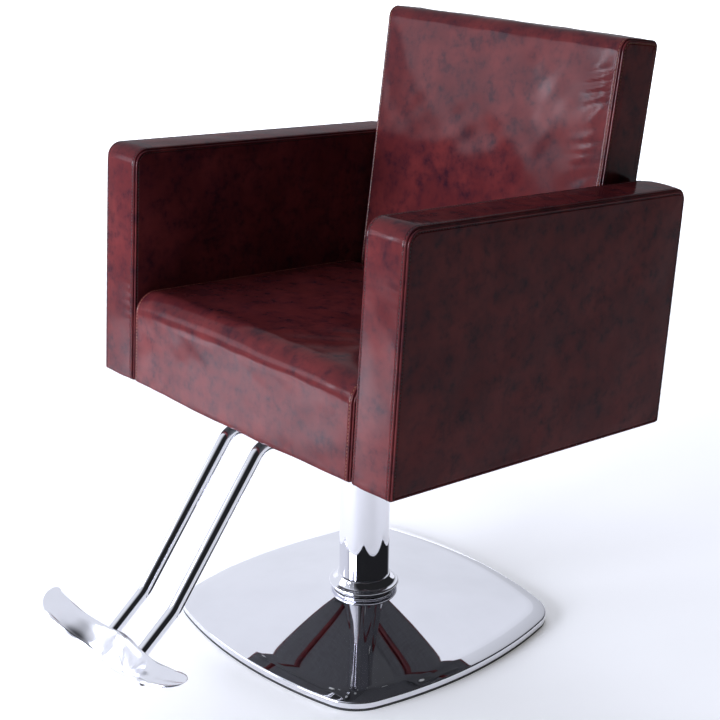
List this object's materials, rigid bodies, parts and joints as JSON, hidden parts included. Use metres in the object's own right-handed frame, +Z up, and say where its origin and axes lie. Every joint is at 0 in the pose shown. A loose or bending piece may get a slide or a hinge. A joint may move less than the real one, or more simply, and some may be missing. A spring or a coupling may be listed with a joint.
{
  "type": "hydraulic barber chair",
  "caption": "Box-armed salon chair in marbled leather on a pumped, swivelling chrome column with a square pressed base and a two-tube footrest.",
  "frame": {"origin": "on the floor at the axis of the column", "axes": "+Z up along the column, the sitter faces -Y, +X is the sitter's left"},
  "size_m": [0.664, 0.8543, 0.9262],
  "materials": {
    "chrome": "polished",
    "leather": "gloss",
    "foam": "matte",
    "plywood": "matte",
    "cloth": "matte",
    "black_steel": "satin",
    "machined": "satin",
    "cast": "matte",
    "bronze": "satin",
    "zinc": "satin",
    "rubber": "matte"
  },
  "bodies": {
    "base": {"floor_mat": "rubber", "floor_plate": "black_steel", "base_shell": "chrome", "edge_trim": "rubber", "pump_flange": "black_steel", "pump_cylinder": "chrome", "collar_ring": "chrome", "pump_body": "cast", "pressure_tube": "machined", "guide_bush": "bronze", "wiper_seal": "rubber", "pedal_pin": "machined", "plunger_spring": "zinc"},
    "lift": {"ram": "machined", "piston_head": "bronze", "piston_seal": "rubber", "lower_race": "machined", "ball_cage": "bronze"},
    "pedal": {"pedal_lever": "chrome", "pedal_pad": "rubber"},
    "plunger": {"pump_plunger": "machined"},
    "seat": {"arm_bolt_left_1": "zinc", "arm_bolt_left_2": "zinc", "arm_bolt_right_1": "zinc", "arm_bolt_right_2": "zinc", "arm_core_left": "plywood", "arm_core_right": "plywood", "arm_cover_left": "leather", "arm_cover_right": "leather", "arm_foam_left": "foam", "arm_foam_right": "foam", "back_bolt_left": "zinc", "back_bolt_right": "zinc", "back_bracket_left": "black_steel", "back_bracket_right": "black_steel", "back_core": "plywood", "back_cover": "leather", "back_foam": "foam", "column_sleeve": "chrome", "dust_cover": "cloth", "footrest_bolt_1": "zinc", "footrest_bolt_2": "zinc", "footrest_bracket": "black_steel", "footrest_buffer_1": "rubber", "footrest_buffer_2": "rubber", "footrest_buffer_3": "rubber", "footrest_buffer_4": "rubber", "footrest_plate": "chrome", "footrest_tube_left": "chrome", "footrest_tube_right": "chrome", "seat_board": "plywood", "seat_bolt_1": "zinc", "seat_bolt_2": "zinc", "seat_bolt_3": "zinc", "seat_bolt_4": "zinc", "seat_cover": "leather", "seat_foam": "foam", "seat_frame": "black_steel", "swivel_hub": "cast", "upper_race": "machined"}
  },
  "joints": [
    {"name": "lift", "type": "slide", "parent": "base", "child": "lift", "axis": [0, 0, 1], "range_m": [0, 0.16]},
    {"name": "swivel", "type": "hinge", "parent": "lift", "child": "seat", "pos_m": [0, 0, 0.338], "axis": [0, 0, 1], "continuous": true},
    {"name": "pedal_press", "type": "hinge", "parent": "base", "child": "pedal", "pos_m": [0, 0, 0.067], "axis": [-0.7071, -0.7071, 0], "range_deg": [0, 12], "stiffness_Nm_per_rad": 4, "springref_deg": -28.65},
    {"name": "plunger_stroke", "type": "slide", "parent": "base", "child": "plunger", "axis": [0, 0, -1], "range_m": [0, 0.0047], "deforming": ["plunger_spring"]}
  ],
  "couplings": [
    {"joint": "plunger_stroke", "follows": "pedal_press", "m_per_rad": 0.0215}
  ]
}
